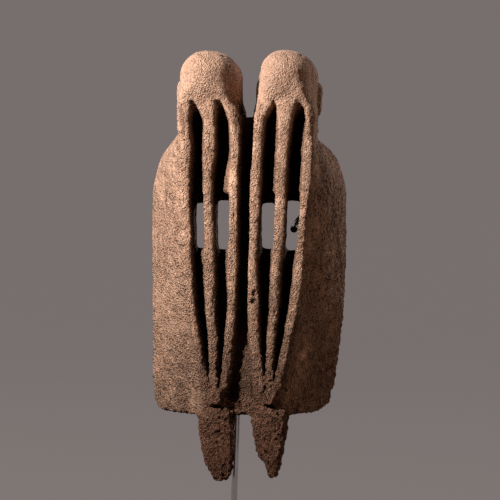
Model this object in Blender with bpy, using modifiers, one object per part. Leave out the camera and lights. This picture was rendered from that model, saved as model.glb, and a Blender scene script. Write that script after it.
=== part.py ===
"""Double-headed monkey mask, carved from one piece of wood, held up by a thin steel rod on a base plate.

Frame: X to the viewer's right, the faces look along -Y, Z up, origin in the middle of the base plate's underside.
Every size below is in millimetres. Heights (Z) are measured from the surface that the base plate stands on, depths (Y)
from the front of the carved floor between the ridges, minus being towards the viewer.
"""

import math

import bmesh
import bpy

MM = 0.001
GAP = 0.3  # clearance kept between two pieces that touch

# ---- the carved mask ---------------------------------------------------------------------------------------------
SHIELD_BOTTOM = 135.4  # lower edge of the shield, between and beside the two tongues
SHIELD_TOP = 433.0  # floor of the notch between the two heads
RIM_Y = 52.0  # plane of the rear rim, the edge that lies against the wearer
PLATE_BACK_Y = 13.0  # inner face of the carved floor, seen from behind
WALL = 10.5  # thickness of the side wings
RIM_WALL = 8.5
HOLLOW_TOP = 419.0

# Each head has three upright ridges that run from the brow down to a pointed muzzle. Centre line of each ridge (X)
# at these heights, from the viewer's left to right, then the ridge widths from the brow down to the muzzle.
RIDGE_HEIGHTS = (427, 398, 368, 320, 280, 241, 211, 181, 166)
LEFT_RIDGES = (
    (-43.4, -41.7, -42.9, -42.0, -40.6, -37.3, -31.7, -26.0, -22.9),
    (-18.6, -19.7, -20.9, -20.5, -20.3, -18.3, -15.3, -15.3, -14.2),
    (5.6, 6.0, 3.4, 4.2, 2.4, 2.1, -1.4, -4.3, -6.0),
)
RIGHT_RIDGES = (
    (30.3, 28.0, 25.8, 24.5, 23.0, 23.6, 26.1, 28.9, 32.4),
    (54.3, 52.2, 50.4, 48.6, 45.4, 43.7, 40.4, 38.8, 39.3),
    (78.6, 77.3, 74.8, 71.2, 67.6, 62.8, 53.9, 49.7, 46.0),
)
WIDTH_HEIGHTS = (427, 398, 320, 181)
LEFT_WIDTHS = ((8.6, 9.0, 6.8, 7.6), (10.4, 11.0, 8.4, 9.6), (11.0, 10.0, 9.2, 9.6))
RIGHT_WIDTHS = ((9.0, 8.6, 8.4, 8.6), (14.0, 11.8, 10.0, 9.4), (9.2, 11.4, 7.6, 8.6))
RIDGE_FRONT_Y = {427: -42, 368: -39, 320: -36, 280: -32, 241: -27, 211: -23, 181: -21, 148: -22}
GROOVE_FLOOR_Y = {450: 2, 241: 2, 211: -5, 181: -14, 166: -22}
GROOVE_TOPS = ((-33.8, 0.3, 0.9), (-7.8, 0.25, 0.8), (46.3, 0.9, 0.3), (70.2, 0.4, 0.3))  # X, how fast each side opens
GROOVE_TOP_Z, ARCH_Z, GROOVE_END_Z = 447.0, 427.0, 167.5
FLANK_TAPER = 1.6  # each groove narrows by this much on each side on its way in
CHIN_Z, CHIN_FOOT_Z = 148.0, 141.5  # tip of each muzzle, and where its underside meets the tongue
CHIN_TIPS = ((-16.9, -10.9), (36.0, 41.4))

# Outline of the shield: X of the rear rim on each side.
LEFT_RIM = {433: -51.5, 424: -52.0, 417: -57.0, 411: -66.1, 398: -75.5, 382: -81.7, 362: -85.3, 336: -86.9, 248: -86.9, 197: -85.2, 166: -84.3, 148: -82.4, 140: -78.0, 135: -71.0}
RIGHT_RIM = {433: 83.6, 418: 83.2, 412.5: 85.0, 407: 92.4, 397: 102.0, 384: 107.9, 366: 112.0, 341: 114.0, 300: 113.2, 244: 110.5, 198: 104.7, 172: 103.0, 164: 101.6, 157: 98.7, 149: 94.4, 141: 87.5, 135: 76.0}
WING_SWELL = 3.5  # how far the wings bulge outwards between ridge and rim
# Where each wing meets the side of the muzzle: X on the left and on the right, then the depth of that line.
LEFT_FOOT_X = {241: -40.6, 211: -36.8, 181: -33.0, 148: -31.4, 135: -31.0}
RIGHT_FOOT_X = {241: 67.2, 211: 60.2, 181: 56.8, 148: 55.6, 135: 53.0}
FOOT_Y = {241: -27, 211: -19, 181: -11.5, 166: -9, 148: -7, 135: -6}
# The gap between the two heads: X of its two lower corners, and the depth of its floor.
GAP_LEFT_X = {433: 13.0, 398: 13.0, 320: 11.5, 241: 9.8, 211: 7.8, 181: 5.2, 148: -0.8, 135: -1.4}
GAP_RIGHT_X = {433: 22.8, 398: 21.4, 320: 18.3, 241: 15.6, 211: 17.0, 181: 20.6, 148: 22.8, 135: 23.2}
GAP_FLOOR_Y = {433: 2, 241: 2, 226: -3, 211: -8, 181: -9, 148: -6, 135: -5}

# The two domed heads.
DOME_X = (-21.9, 55.0)
DOME_HALF = (31.6, 31.2)
DOME_TOP, DOME_SPRING, DOME_BOTTOM = 499.6, 473.0, 419.0
DOME_SPRING_Y = 10.0  # depth at which each head is widest
DOME_REACH, BROW_REACH = 62.0, 53.5  # how far the dome, and the face under its brow, come forward of DOME_SPRING_Y
BROW_Z, BROW_BLEND = 464.0, 20.0
LOBE_DROP = 34.0  # the brow hangs lower by this much at the sides of each head
FACE_TUCK, INNER_TUCK = 4.5, 2.2  # under the brow the head draws back inside the ridges
REAR_TUCK = 2.8  # each head is narrower by this much on each side at its rear
NOTCH_FLARE, NOTCH_FLARE_Z = 3.6, 452.0  # the heads draw together towards the floor of the notch between them

# Ears: a low pad on the outer side of each head. X of its outer face, Y and Z of its middle, half depth, half height.
LEFT_EAR = (-55.8, 8.0, 444.5, 13.0, 24.5)
RIGHT_EAR = (90.3, 8.0, 449.5, 12.0, 15.5)
EAR_ROOT, EAR_LEAN = 12.0, 0.9  # how deep the pad is let into the head, and how much its lower end lies flatter

# Eye openings, cut right through the floor of each groove: X of both sides, then Z of both ends.
EYES = ((-37.0, -26.0, 301.8, 347.6), (-14.9, -1.6, 300.6, 350.0), (30.2, 43.4, 301.4, 347.4), (54.0, 67.9, 299.8, 349.4))

# Tongues: left and right X at each height.
LEFT_TONGUE = {150: (-31.0, -1.0), 136: (-33.0, 0.6), 120: (-31.6, 0.6), 110: (-30.5, 0.6), 95: (-28.0, 0.1), 84: (-23.2, -1.4), 75: (-18.8, -3.0), 69: (-15.6, -7.0)}
RIGHT_TONGUE = {150: (25.0, 53.0), 136: (20.8, 54.4), 120: (22.6, 52.6), 110: (24.2, 51.4), 96: (28.2, 49.0), 86: (34.6, 47.2), 79: (36.8, 45.4), 72.8: (38.0, 43.2)}
TONGUE_FRONT_Y, TONGUE_BACK_Y, TONGUE_SPREAD = -7.0, 12.0, 2.6

# ---- the stand ---------------------------------------------------------------------------------------------------
ROD_D = 6.2
CAP_D, CAP_H, CAP_GRIP = 10.4, 9.0, 4.0
ROD_Y = PLATE_BACK_Y + GAP + CAP_D / 2
ROD_FOOT_X, ROD_LEAN = -0.8, 0.0364  # the rod leans to the right by this much for each millimetre of height
ROD_FOOT_Z = 2.3
ARM_D = 4.6
SLEEVE_D = 7.4
BASE_W, BASE_DEPTH, BASE_H, BASE_EDGE = 160.0, 130.0, 12.0, 1.5

ROD_TOP_Z = HOLLOW_TOP - GAP - (CAP_H - CAP_GRIP)


# ---- helpers -----------------------------------------------------------------------------------------------------
def smooth(table):
    """A function of height that runs smoothly through the stations of the table and never overshoots them."""
    zs = sorted(table)
    vs = [table[z] for z in zs]
    slopes = [(b - a) / (q - p) for a, b, p, q in zip(vs, vs[1:], zs, zs[1:])]
    tangents = [slopes[0]]
    for a, b in zip(slopes, slopes[1:]):
        tangents.append(0.0 if a * b <= 0 else 2 * a * b / (a + b))
    tangents.append(slopes[-1])

    def value(z):
        z = min(max(z, zs[0]), zs[-1])
        i = max(k for k in range(len(zs) - 1) if zs[k] <= z)
        h = zs[i + 1] - zs[i]
        t = (z - zs[i]) / h
        return (
            vs[i] * (1 + 2 * t) * (1 - t) ** 2
            + tangents[i] * h * t * (1 - t) ** 2
            + vs[i + 1] * t * t * (3 - 2 * t)
            + tangents[i + 1] * h * t * t * (t - 1)
        )

    return value


def ease(t):
    t = min(max(t, 0.0), 1.0)
    return t * t * (3 - 2 * t)


def signed_power(value, power):
    return math.copysign(abs(value) ** power, value)


def material(name, colour, roughness, metallic):
    made = bpy.data.materials.new(name)
    made.use_nodes = True
    shader = made.node_tree.nodes["Principled BSDF"]
    shader.inputs["Base Color"].default_value = (*colour, 1.0)
    shader.inputs["Roughness"].default_value = roughness
    shader.inputs["Metallic"].default_value = metallic
    return made


def new_object(name, bm, collection, surface=None):
    bm.normal_update()
    bmesh.ops.recalc_face_normals(bm, faces=bm.faces)
    mesh = bpy.data.meshes.new(name)
    bm.to_mesh(mesh)
    bm.free()
    made = bpy.data.objects.new(name, mesh)
    collection.objects.link(made)
    if surface:
        mesh.materials.append(surface)
    else:
        made.hide_render = True
        made.display_type = "WIRE"
    return made


def loft(rows):
    """A closed solid through rings of points that all have the same count, in millimetres."""
    bm = bmesh.new()
    rings = [[bm.verts.new((x * MM, y * MM, z * MM)) for x, y, z in row] for row in rows]
    count = len(rings[0])
    for low, high in zip(rings, rings[1:]):
        for k in range(count):
            bm.faces.new((low[k], low[(k + 1) % count], high[(k + 1) % count], high[k]))
    bm.faces.new(rings[0][::-1])
    bm.faces.new(rings[-1])
    bmesh.ops.triangulate(bm, faces=[f for f in bm.faces if len(f.verts) > 4], ngon_method="EAR_CLIP")
    return bm


def heights(low, high, step):
    count = max(1, round((high - low) / step))
    return [low + (high - low) * k / count for k in range(count + 1)]


# ---- the form of the mask, as functions of height ----------------------------------------------------------------
ridge_front = smooth(RIDGE_FRONT_Y)
groove_floor = smooth(GROOVE_FLOOR_Y)
rims = (smooth(LEFT_RIM), smooth(RIGHT_RIM))
foot_x = (smooth(LEFT_FOOT_X), smooth(RIGHT_FOOT_X))
foot_y = smooth(FOOT_Y)
gap_x = (smooth(GAP_LEFT_X), smooth(GAP_RIGHT_X))
gap_floor = smooth(GAP_FLOOR_Y)
centres = [[smooth(dict(zip(RIDGE_HEIGHTS, row))) for row in head] for head in (LEFT_RIDGES, RIGHT_RIDGES)]
widths = [[smooth(dict(zip(WIDTH_HEIGHTS, row))) for row in head] for head in (LEFT_WIDTHS, RIGHT_WIDTHS)]


def ridge_edges(head, ridge, z):
    centre, half = centres[head][ridge](z), widths[head][ridge](z) / 2
    return centre - half, centre + half


def face_edges(head, z):
    """Outer edges of a head's ridges. Below the last ridge station they run straight to the muzzle's tip."""
    low = RIDGE_HEIGHTS[-1]
    left, right = ridge_edges(head, 0, max(z, low))[0], ridge_edges(head, 2, max(z, low))[1]
    if z < low:
        t = min(1.0, (low - z) / (low - CHIN_Z))
        left += (CHIN_TIPS[head][0] - left) * t
        right += (CHIN_TIPS[head][1] - right) * t
    return left, right


def face_front(z):
    """Depth of the ridges' front. Under the muzzle's tip it slopes back to the floor."""
    if z >= CHIN_Z:
        return ridge_front(z)
    t = min(1.0, (CHIN_Z - z) / (CHIN_Z - CHIN_FOOT_Z))
    return ridge_front(CHIN_Z) + (TONGUE_FRONT_Y + 1.3 - ridge_front(CHIN_Z)) * t


def wing(side, z, inner_x, inner_y):
    """Points down the outer face of a wing, from the edge by the ridges back to the rim."""
    rim = rims[side](z)
    span_x, span_y = rim - inner_x, RIM_Y - inner_y
    length = math.hypot(span_x, span_y)
    out_x, out_y = abs(span_y) / length * (1 if side else -1), -abs(span_x) / length
    swell = min(WING_SWELL, abs(span_x) * 0.12)
    points = []
    for t in (0.2, 0.4, 0.6, 0.8, 0.94):
        push = swell * math.sin(math.pi * t)
        points.append((inner_x + span_x * t + out_x * push, inner_y + span_y * t + out_y * push))
    return points + [(rim, RIM_Y)]


def shield_section(z):
    """The block that the mask is cut from, seen from above at one height, from the left rim round to the right rim."""
    front = face_front(z)
    points = []
    (l0, l1), (r0, r1) = face_edges(0, z), face_edges(1, z)
    high = z >= 241
    left_foot = (l0 - 0.8, front + 2.2) if high else (foot_x[0](z), max(foot_y(z), front + 1.0))
    right_foot = (r1 + 0.8, front + 2.2) if high else (foot_x[1](z), max(foot_y(z), front + 1.0))
    floor = gap_floor(z)
    gap_l, gap_r = max(gap_x[0](z), l1 + 1.0), min(gap_x[1](z), r0 - 1.0)
    points += reversed(wing(0, z, *left_foot))
    points += [left_foot, (l0, front + 1.0), (l0 + 1.2, front), (l1 - 1.2, front), (l1, front + 1.0)]
    points += [(gap_l, floor), (gap_r, floor)]
    points += [(r0, front + 1.0), (r0 + 1.2, front), (r1 - 1.2, front), (r1, front + 1.0), right_foot]
    points += wing(1, z, *right_foot)
    return [(x, y, z) for x, y in points]


def dome_section(head, z):
    """One head at one height: round in front, straight back along its sides to the rear rim."""
    rise = max(0.0, (z - DOME_SPRING) / (DOME_TOP - DOME_SPRING))
    shrink = math.sqrt(max(0.0, 1 - rise * rise))
    rear = math.sqrt(max(0.0, 1 - rise**4))
    half = DOME_HALF[head] * shrink
    power = 2 / (2.3 + 4.7 * ease((DOME_SPRING - z) / 50))
    points = []
    for k in range(25):
        angle = math.pi * k / 24
        u = signed_power(-math.cos(angle), power)
        v = abs(math.sin(angle)) ** power
        brow = ease((BROW_Z - LOBE_DROP * abs(u) ** 3.5 - z) / BROW_BLEND)
        reach = (DOME_REACH + (BROW_REACH - DOME_REACH) * brow) * shrink**0.85 - FACE_TUCK * ease((442 - z) / 20)
        inner = half - INNER_TUCK * ease((446 - z) / 13) if u * (0.5 - head) > 0 else half
        points.append((DOME_X[head] + inner * u, DOME_SPRING_Y - reach * v, z))
    back = DOME_SPRING_Y + (RIM_Y - 0.5 - DOME_SPRING_Y) * rear
    flare = NOTCH_FLARE * ease((NOTCH_FLARE_Z - z) / 18)
    for y_part, side in ((0.5, 1), (1.0, 1), (1.0, -1), (0.5, -1)):
        reach = half - REAR_TUCK * y_part**2 * shrink + (flare if side == (-1 if head else 1) else 0.0)
        points.append((DOME_X[head] + side * reach, DOME_SPRING_Y + (back - DOME_SPRING_Y) * y_part, z))
    return points


def groove_section(number, z):
    """One of the four deep grooves, from in front of the face to its floor."""
    head, left = divmod(number, 2)
    xl, xr = ridge_edges(head, left, z)[1], ridge_edges(head, left + 1, z)[0]
    if z > ARCH_Z:
        top, quick_l, quick_r = GROOVE_TOPS[number]
        t = (GROOVE_TOP_Z - z) / (GROOVE_TOP_Z - ARCH_Z)
        xl, xr = top + (xl - top) * t**quick_l, top + (xr - top) * t**quick_r
    if xr - xl < 1.0:
        middle = (xl + xr) / 2
        xl, xr = middle - 0.5, middle + 0.5
    front, floor = ridge_front(z), groove_floor(z)
    floor = max(floor, front + 0.6)
    taper = min(FLANK_TAPER, (xr - xl) * 0.22)
    return [
        (xl - 1.0, -80.0, z), (xl - 0.9, front - 0.5, z), (xl, front + 1.2, z), (xl + taper, floor, z),
        (xr - taper, floor, z), (xr, front + 1.2, z), (xr + 0.9, front - 0.5, z), (xr + 1.0, -80.0, z),
    ]


def eye_section(eye, z, grow=1.0):
    """An eye opening: a slot with rounded ends, wider behind than in front."""
    x0, x1, z0, z1 = eye
    middle, half = (z0 + z1) / 2, (z1 - z0) / 2
    end = max(0.0, 1 - abs((z - middle) / half) ** 7) ** (1 / 4)
    centre, reach = (x0 + x1) / 2, (x1 - x0) / 2 * (0.45 + 0.55 * end)
    return [(centre - reach, -14.0, z), (centre + reach, -14.0, z), (centre + reach + grow, 24.0, z), (centre - reach - grow, 24.0, z)]


def wing_inner_x(side, z):
    """Inner face of a wing where it meets the inner face of the floor, and at the rim."""
    zz = max(min(z, SHIELD_TOP), SHIELD_BOTTOM)
    low, high = face_edges(side, zz)
    inner_x = (low if side == 0 else high) if zz >= 241 else foot_x[side](zz)
    inner_y = face_front(zz) if zz >= 241 else foot_y(zz)
    rim = rims[side](zz)
    t = (PLATE_BACK_Y - inner_y) / (RIM_Y - inner_y)
    inwards = -1 if side else 1
    return inner_x + (rim - inner_x) * t + inwards * WALL, rim + inwards * RIM_WALL


def hollow_section(z):
    """The hollow for the wearer's face, open behind and below."""
    (l_in, l_rim), (r_in, r_rim) = wing_inner_x(0, z), wing_inner_x(1, z)
    arch = max(0.0, 1 - max(0.0, (z - 380) / (HOLLOW_TOP + 0.01 - 380)) ** 3) ** (1 / 3)
    centre = (l_in + r_in) / 2
    squeeze = 0.62 + 0.38 * arch
    l_in, r_in = centre + (l_in - centre) * squeeze, centre + (r_in - centre) * squeeze
    l_rim, r_rim = centre + (l_rim - centre) * squeeze, centre + (r_rim - centre) * squeeze
    beyond = 20.0 / (RIM_Y - PLATE_BACK_Y)
    return [
        (l_in + 3, PLATE_BACK_Y, z), (r_in - 3, PLATE_BACK_Y, z), (r_in, PLATE_BACK_Y + 4, z), (r_rim, RIM_Y, z),
        (r_rim + (r_rim - r_in) * beyond, RIM_Y + 20, z), (l_rim + (l_rim - l_in) * beyond, RIM_Y + 20, z), (l_rim, RIM_Y, z), (l_in, PLATE_BACK_Y + 4, z),
    ]


def pocket_section(head, z):
    """The hollow inside one head, above the wearer's face."""
    top, spring = 478.0, 455.0
    rise = min(0.999, max(0.0, (z - spring) / (top - spring)))
    half = (DOME_HALF[head] - 8.5) * math.sqrt(1 - rise * rise)
    front = PLATE_BACK_Y - 10.0 * ease((z - 440) / 12)
    return [
        (DOME_X[head] - half * 0.85, front, z), (DOME_X[head] + half * 0.85, front, z), (DOME_X[head] + half, front + 6, z),
        (DOME_X[head] + half, RIM_Y + 20, z), (DOME_X[head] - half, RIM_Y + 20, z), (DOME_X[head] - half, front + 6, z),
    ]


def tongue_section(table, z):
    left = smooth({k: v[0] for k, v in table.items()})(z)
    right = smooth({k: v[1] for k, v in table.items()})(z)
    low = min(table)
    thin = 1.0 - 0.45 * ease((low + 30 - z) / 30)
    back = TONGUE_FRONT_Y + 1.0 + (TONGUE_BACK_Y - TONGUE_FRONT_Y - 1.0) * thin
    front = TONGUE_FRONT_Y + 1.5 * ease((low + 14 - z) / 14)
    edge = min(2.0, (right - left) * 0.2)
    return [
        (left, front + edge * 0.8, z), (left + edge, front, z), (right - edge, front, z), (right, front + edge * 0.8, z),
        (right + TONGUE_SPREAD, back - 2, z), (right + TONGUE_SPREAD - 2, back, z), (left - TONGUE_SPREAD * 0.6 + 2, back, z), (left - TONGUE_SPREAD * 0.6, back - 2, z),
    ]


# ---- building ----------------------------------------------------------------------------------------------------
for old in list(bpy.data.objects):
    bpy.data.objects.remove(old, do_unlink=True)

parts = bpy.data.collections.new("monkey_mask")
cutters = bpy.data.collections.new("cutters")
bpy.context.scene.collection.children.link(parts)
bpy.context.scene.collection.children.link(cutters)

wood = material("crusted_wood", (0.16, 0.085, 0.052), 0.92, 0.0)
steel = material("polished_steel", (0.62, 0.61, 0.60), 0.22, 1.0)
rubber = material("black_rubber", (0.012, 0.012, 0.012), 0.75, 0.0)
paint = material("black_paint", (0.02, 0.02, 0.022), 0.45, 0.0)


def combine(target, other, operation):
    modifier = target.modifiers.new(other.name, "BOOLEAN")
    modifier.operation = operation
    modifier.object = other
    # The muzzles' feet lie almost flush with the shield, so the mask is joined with the manifold solver.
    modifier.solver = "MANIFOLD" if target is mask else "EXACT"


# The shield with the block of both faces.
rows = [shield_section(z) for z in heights(SHIELD_BOTTOM, CHIN_FOOT_Z, 3.0) + heights(CHIN_FOOT_Z, CHIN_Z, 3.3)[1:] + heights(CHIN_Z, 166, 6)[1:] + heights(166, 400, 11.7)[1:] + heights(400, SHIELD_TOP, 5.5)[1:]]
mask = new_object("mask", loft(rows), parts, wood)

for head, side in enumerate(("left", "right")):
    levels = heights(DOME_BOTTOM, DOME_SPRING, 5) + [DOME_SPRING + (DOME_TOP - DOME_SPRING) * math.sin(math.radians(a)) for a in (14, 28, 41, 53, 64, 74, 82, 87.5)]
    combine(mask, new_object(f"dome_{side}", loft([dome_section(head, z) for z in levels]), cutters), "UNION")

for name, table in (("tongue_left", LEFT_TONGUE), ("tongue_right", RIGHT_TONGUE)):
    levels = heights(min(table), 86, 3.2) + heights(86, 140, 7.0)[1:]
    combine(mask, new_object(name, loft([tongue_section(table, z) for z in levels]), cutters), "UNION")

for name, out, (x, y, z, half_d, half_h) in (("ear_left", -1, LEFT_EAR), ("ear_right", 1, RIGHT_EAR)):
    bm = bmesh.new()
    bmesh.ops.create_cone(bm, cap_ends=True, segments=32, radius1=1.55, radius2=0.85, depth=1.0)
    for v in bm.verts:
        a, b, c = v.co
        v.co = ((x + out * ((c - 0.5) * EAR_ROOT + b * EAR_LEAN)) * MM, (y + a * half_d) * MM, (z + b * half_h) * MM)
    combine(mask, new_object(name, bm, cutters), "UNION")

for number in range(4):
    levels = heights(GROOVE_END_Z, 400, 11.6) + heights(400, ARCH_Z, 9)[1:] + heights(ARCH_Z, GROOVE_TOP_Z - 0.05, 3.2)[1:]
    combine(mask, new_object(f"groove_{number + 1}", loft([groove_section(number, z) for z in levels]), cutters), "DIFFERENCE")

for number, eye in enumerate(EYES):
    middle, half = (eye[2] + eye[3]) / 2, (eye[3] - eye[2]) / 2
    levels = [middle + half * t for t in (-1, -0.97, -0.9, -0.8, -0.6, 0, 0.6, 0.8, 0.9, 0.97, 1)]
    combine(mask, new_object(f"eye_{number + 1}", loft([eye_section(eye, z) for z in levels]), cutters), "DIFFERENCE")

levels = heights(SHIELD_BOTTOM - 20, 380, 17) + heights(380, HOLLOW_TOP, 5.5)[1:]
combine(mask, new_object("face_hollow", loft([hollow_section(z) for z in levels]), cutters), "DIFFERENCE")
for head, side in enumerate(("left", "right")):
    levels = heights(392, 455, 8) + [455 + 23 * math.sin(math.radians(a)) for a in (15, 30, 45, 60, 75, 86)]
    combine(mask, new_object(f"pocket_{side}", loft([pocket_section(head, z) for z in levels]), cutters), "DIFFERENCE")

# A small square nick under the tip of each muzzle.
for head, (x0, x1) in enumerate(CHIN_TIPS):
    bm = bmesh.new()
    bmesh.ops.create_cube(bm, size=1.0)
    for v in bm.verts:
        a, b, c = v.co
        v.co = (((x0 + x1) / 2 + a * (x1 - x0 + 1.0)) * MM, (-17.0 + b * 16.0) * MM, (145.4 + c * 4.4) * MM)
    combine(mask, new_object(f"nick_{head + 1}", bm, cutters), "DIFFERENCE")


def tube(name, points, diameter, collection, surface, sides=3):
    """A round bar along straight or bent points, closed at both ends, as a mesh."""
    curve = bpy.data.curves.new(name, "CURVE")
    curve.dimensions = "3D"
    curve.bevel_depth = diameter / 2 * MM
    curve.bevel_resolution = sides
    curve.use_fill_caps = True
    spline = curve.splines.new("POLY")
    spline.points.add(len(points) - 1)
    for place, (x, y, z) in zip(spline.points, points):
        place.co = (x * MM, y * MM, z * MM, 1.0)
    temporary = bpy.data.objects.new(name + "_curve", curve)
    collection.objects.link(temporary)
    bpy.context.view_layer.update()
    graph = bpy.context.evaluated_depsgraph_get()
    mesh = bpy.data.meshes.new_from_object(temporary.evaluated_get(graph))
    bpy.data.objects.remove(temporary, do_unlink=True)
    bpy.data.curves.remove(curve)
    bm = bmesh.new()
    bm.from_mesh(mesh)
    bpy.data.meshes.remove(mesh)
    bmesh.ops.remove_doubles(bm, verts=bm.verts, dist=0.00001)
    return new_object(name, bm, collection, surface)


def rod_x(z):
    return ROD_FOOT_X + ROD_LEAN * z


def rod_point(z):
    return (rod_x(z), ROD_Y, z)


def bend(points, steps=6):
    """Points along a smooth curve through the corners given (uniform Catmull-Rom)."""
    out = []
    for i in range(len(points) - 1):
        p0, p1, p2, p3 = points[max(i - 1, 0)], points[i], points[i + 1], points[min(i + 2, len(points) - 1)]
        for k in range(steps):
            t = k / steps
            out.append(tuple(
                0.5 * (2 * b + (c - a) * t + (2 * a - 5 * b + 4 * c - d) * t * t + (3 * b - a - 3 * c + d) * t**3)
                for a, b, c, d in zip(p0, p1, p2, p3)
            ))
    return out + [points[-1]]


# The rod, with the arm brazed across it, whose end turns back towards the right-hand eye.
ARM_Z = 361.0
arm_points = bend([
    (rod_x(ARM_Z) + 0.5, ROD_Y + 1.0, ARM_Z), (35, 19.5, ARM_Z + 1), (58, 20, ARM_Z + 0.5), (71, 20.5, ARM_Z - 4), (75, 21.5, 346),
    (70.5, 22.5, 335), (65.4, 20.5, 328.5), (63.0, 15.0, 324.5), (62.2, 7.0, 321.0),
])
rod = tube("support_rod", [rod_point(ROD_FOOT_Z), rod_point(ROD_TOP_Z)], ROD_D, parts, steel, sides=4)
combine(rod, tube("arm", arm_points, ARM_D, cutters, None), "UNION")

# Rubber sleeve over the last stretch of the arm.
tip = arm_points[-20:]
end = tuple(b + (b - a) * 0.9 for a, b in zip(tip[-2], tip[-1]))
sleeve = tube("prong_sleeve", tip[1:] + [end], SLEEVE_D, parts, rubber)
combine(sleeve, tube("sleeve_bore", tip + [tuple(b + (b - a) * 0.25 for a, b in zip(tip[-2], tip[-1]))], ARM_D + 2 * GAP, cutters, None), "DIFFERENCE")

# Rubber cap on top of the rod, on which the mask's inner edge rests.
cap_low, cap_high = ROD_TOP_Z - CAP_GRIP, HOLLOW_TOP - GAP
cap = tube("top_cap", [rod_point(cap_low), (rod_x(cap_low), ROD_Y, cap_high)], CAP_D, parts, rubber, sides=4)
combine(cap, tube("cap_bore", [rod_point(cap_low - 3), rod_point(ROD_TOP_Z + GAP)], ROD_D + 2 * GAP, cutters, None, sides=4), "DIFFERENCE")

# The base plate, drilled from above for the rod.
bm = bmesh.new()
bmesh.ops.create_cube(bm, size=1.0)
for v in bm.verts:
    v.co = (v.co.x * BASE_W * MM, v.co.y * BASE_DEPTH * MM, (v.co.z + 0.5) * BASE_H * MM)
base = new_object("base_plate", bm, parts, paint)
rounding = base.modifiers.new("rounded_edges", "BEVEL")
rounding.width = BASE_EDGE * MM
rounding.segments = 2
rounding.limit_method = "ANGLE"
combine(base, tube("rod_hole", [rod_point(ROD_FOOT_Z - GAP), rod_point(BASE_H + 5)], ROD_D + 2 * GAP, cutters, None, sides=4), "DIFFERENCE")
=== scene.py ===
"""Looks of the double-headed monkey mask on its rod stand.

The mask is worked out again here at about one millimetre, from the same named sizes as its solid, as a distance field
that is carved slice by slice, and then gets its crust, pits and tool marks as real relief. Sizes are in millimetres.
"""

import math

import bpy
import numpy as np
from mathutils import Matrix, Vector


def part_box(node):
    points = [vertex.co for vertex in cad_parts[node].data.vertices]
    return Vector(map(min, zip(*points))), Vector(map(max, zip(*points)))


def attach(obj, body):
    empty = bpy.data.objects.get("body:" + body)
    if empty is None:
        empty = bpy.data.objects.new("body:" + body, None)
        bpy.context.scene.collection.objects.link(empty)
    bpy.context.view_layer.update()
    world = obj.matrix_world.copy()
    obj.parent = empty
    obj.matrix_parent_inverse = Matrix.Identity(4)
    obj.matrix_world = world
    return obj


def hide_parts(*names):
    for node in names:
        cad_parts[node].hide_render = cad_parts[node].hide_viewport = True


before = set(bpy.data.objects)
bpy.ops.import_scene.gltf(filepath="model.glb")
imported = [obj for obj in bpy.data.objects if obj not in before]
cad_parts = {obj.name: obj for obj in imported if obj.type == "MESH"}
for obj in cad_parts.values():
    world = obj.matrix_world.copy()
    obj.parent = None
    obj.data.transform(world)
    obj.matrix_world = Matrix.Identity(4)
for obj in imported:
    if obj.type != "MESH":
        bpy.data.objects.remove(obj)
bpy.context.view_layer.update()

MM = 0.001
scene = bpy.context.scene

# ---- the carved mask: named sizes --------------------------------------------------------------------------------
SHIELD_BOTTOM, SHIELD_TOP = 135.4, 433.0
RIM_Y, PLATE_BACK_Y = 52.0, 13.0
WALL, RIM_WALL = 10.5, 8.5
HOLLOW_TOP = 419.0
RIDGE_HEIGHTS = (427, 398, 368, 320, 280, 241, 211, 181, 166)
LEFT_RIDGES = (
    (-44.0, -42.1, -43.3, -42.0, -40.8, -37.9, -33.0, -26.8, -23.5),
    (-19.4, -20.2, -21.5, -20.6, -20.3, -20.3, -17.3, -16.7, -15.0),
    (5.6, 6.6, 5.0, 4.6, 3.0, 1.9, -1.4, -4.2, -6.8),
)
RIGHT_RIDGES = (
    (30.8, 27.9, 26.2, 24.5, 22.8, 23.1, 24.6, 28.4, 31.2),
    (54.7, 52.9, 51.0, 49.2, 45.4, 43.2, 40.4, 39.5, 39.8),
    (79.6, 78.0, 75.9, 71.8, 68.2, 62.9, 56.7, 50.4, 46.3),
)
LEFT_WIDTHS = ((7.4, 8.2, 7.0, 6.7, 6.6, 6.0, 5.0, 6.0, 6.4), (10.4, 11.6, 7.4, 8.2, 10.0, 7.6, 9.0, 8.0, 8.9), (10.1, 9.3, 9.6, 8.9, 10.4, 8.7, 9.1, 7.4, 6.1))
RIGHT_WIDTHS = ((7.6, 7.4, 8.4, 7.2, 6.5, 9.2, 8.3, 9.1, 10.5), (13.5, 9.8, 9.6, 9.7, 7.9, 8.3, 8.0, 7.9, 8.4), (7.2, 9.9, 9.4, 6.9, 8.8, 9.8, 9.1, 7.4, 7.6))
RIDGE_FRONT_Y = {427: -42, 368: -39, 320: -36, 280: -32, 241: -27, 211: -23, 181: -21, 148: -22}
GROOVE_FLOOR_Y = {450: 2, 241: 2, 211: -3, 181: -8, 172: -12, 162: -22}
GROOVE_TOPS = ((-33.8, 0.3, 0.9), (-7.8, 0.10, 0.8), (46.3, 0.9, 0.3), (70.2, 0.4, 0.3))
GROOVE_TOP_Z, ARCH_Z, GROOVE_END_Z = (447.0, 447.0, 445.5, 445.0), 427.0, 163.0
CHIN_Z, CHIN_FOOT_Z = 148.0, 141.5
CHIN_TIPS = ((-16.9, -10.9), (36.0, 41.4))
LEFT_RIM = {433: -51.5, 427: -51.8, 420: -54.0, 413: -63.0, 406: -69.5, 400: -74.2, 384: -81.8, 362: -86.0, 336: -86.9, 248: -86.9, 197: -86.9, 166: -86.6, 155: -86.0, 148: -84.8, 140: -81.5, 135: -74.0}
RIGHT_RIM = {433: 83.6, 418: 83.2, 412.5: 85.0, 407: 92.4, 397: 102.0, 384: 108.2, 366: 112.6, 341: 114.0, 300: 113.8, 244: 111.6, 198: 106.8, 172: 103.8, 164: 102.6, 157: 100.0, 149: 98.2, 141: 93.0, 135: 83.0}
WING_SWELL = 3.5
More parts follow.
